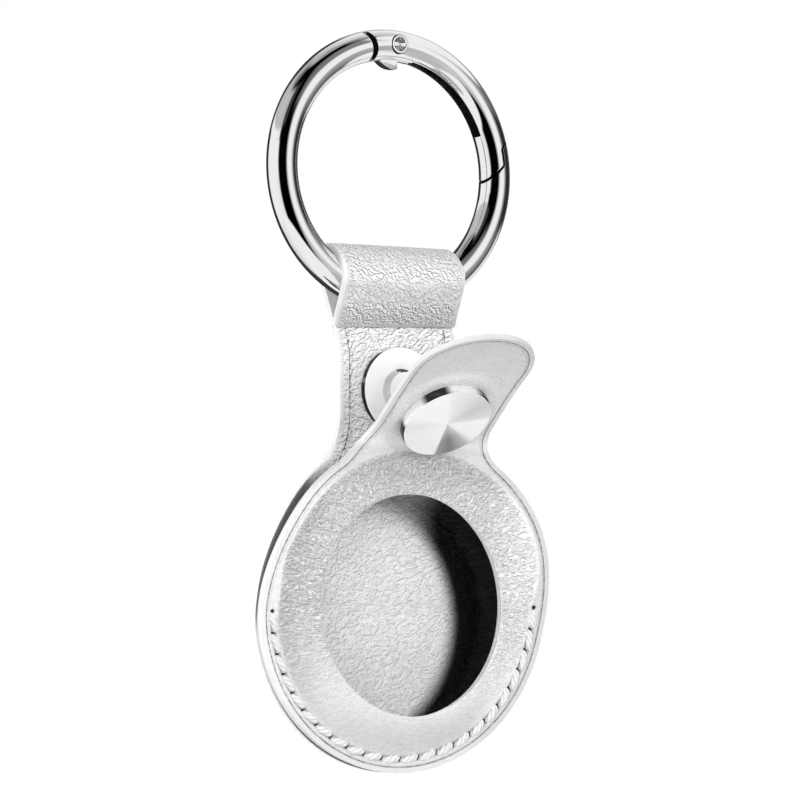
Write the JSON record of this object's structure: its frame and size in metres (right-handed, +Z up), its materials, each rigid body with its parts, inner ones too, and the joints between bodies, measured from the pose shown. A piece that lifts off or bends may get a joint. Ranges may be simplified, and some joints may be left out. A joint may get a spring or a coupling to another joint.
{
  "type": "tracker tag holder",
  "caption": "Round leather pouch for a coin-shaped tracker tag, with a window, a snap-closed tab and a strap loop that hangs from a spring gate ring.",
  "frame": {"origin": "centre of the ring", "axes": "+Z up with the holder hanging, -Y is the front of the pouch, +X to the right seen from the front"},
  "size_m": [0.041, 0.029, 0.0916],
  "materials": {
    "ring_metal": "mirror-bright plated wire",
    "rivet_metal": "bright bezel with a hammered centre",
    "spring_steel": "drawn spring wire",
    "leather": "white coated leather with a fine pressed grain and painted edges",
    "leather_lining": "white lining leather with a coarser pebble grain",
    "thread": "white waxed twisted thread",
    "cap_metal": "spun face that catches the light in sectors, polished edge",
    "snap_metal": "bright plated pressed brass"
  },
  "bodies": {
    "ring": {"ring_frame": "ring_metal", "gate_rivet": "rivet_metal"},
    "gate": {"ring_gate": "ring_metal", "gate_spring": "spring_steel"},
    "holder": {"back_cover": "leather", "back_facing": "leather_lining", "loop_lining": "leather_lining", "front_panel": "leather", "front_lining": "leather_lining", "stitch_thread": "thread", "snap_stud": "snap_metal", "snap_post": "snap_metal"},
    "tab": {"tab_leather": "leather", "tab_lining": "leather_lining", "snap_cap": "cap_metal", "snap_socket": "snap_metal", "socket_spring": "spring_steel"}
  },
  "joints": [
    {"name": "gate_hinge", "type": "hinge", "parent": "ring", "child": "gate", "pos_m": [0.00043, 0, 0.01546], "axis": [0, 1, 0], "range_deg": [0, 24], "stiffness_Nm_per_rad": 0.02, "springref_deg": -11.46, "deforming": ["gate_spring"]},
    {"name": "holder_swing", "type": "hinge", "parent": "ring", "child": "holder", "pos_m": [0, 0, -0.0142], "axis": [1, 0, 0], "range_deg": [-20, 20]},
    {"name": "tab_fold", "type": "hinge", "parent": "holder", "child": "tab", "pos_m": [0, -0.00503, -0.03678], "axis": [1, 0, 0], "range_deg": [-51.5, 50]}
  ]
}
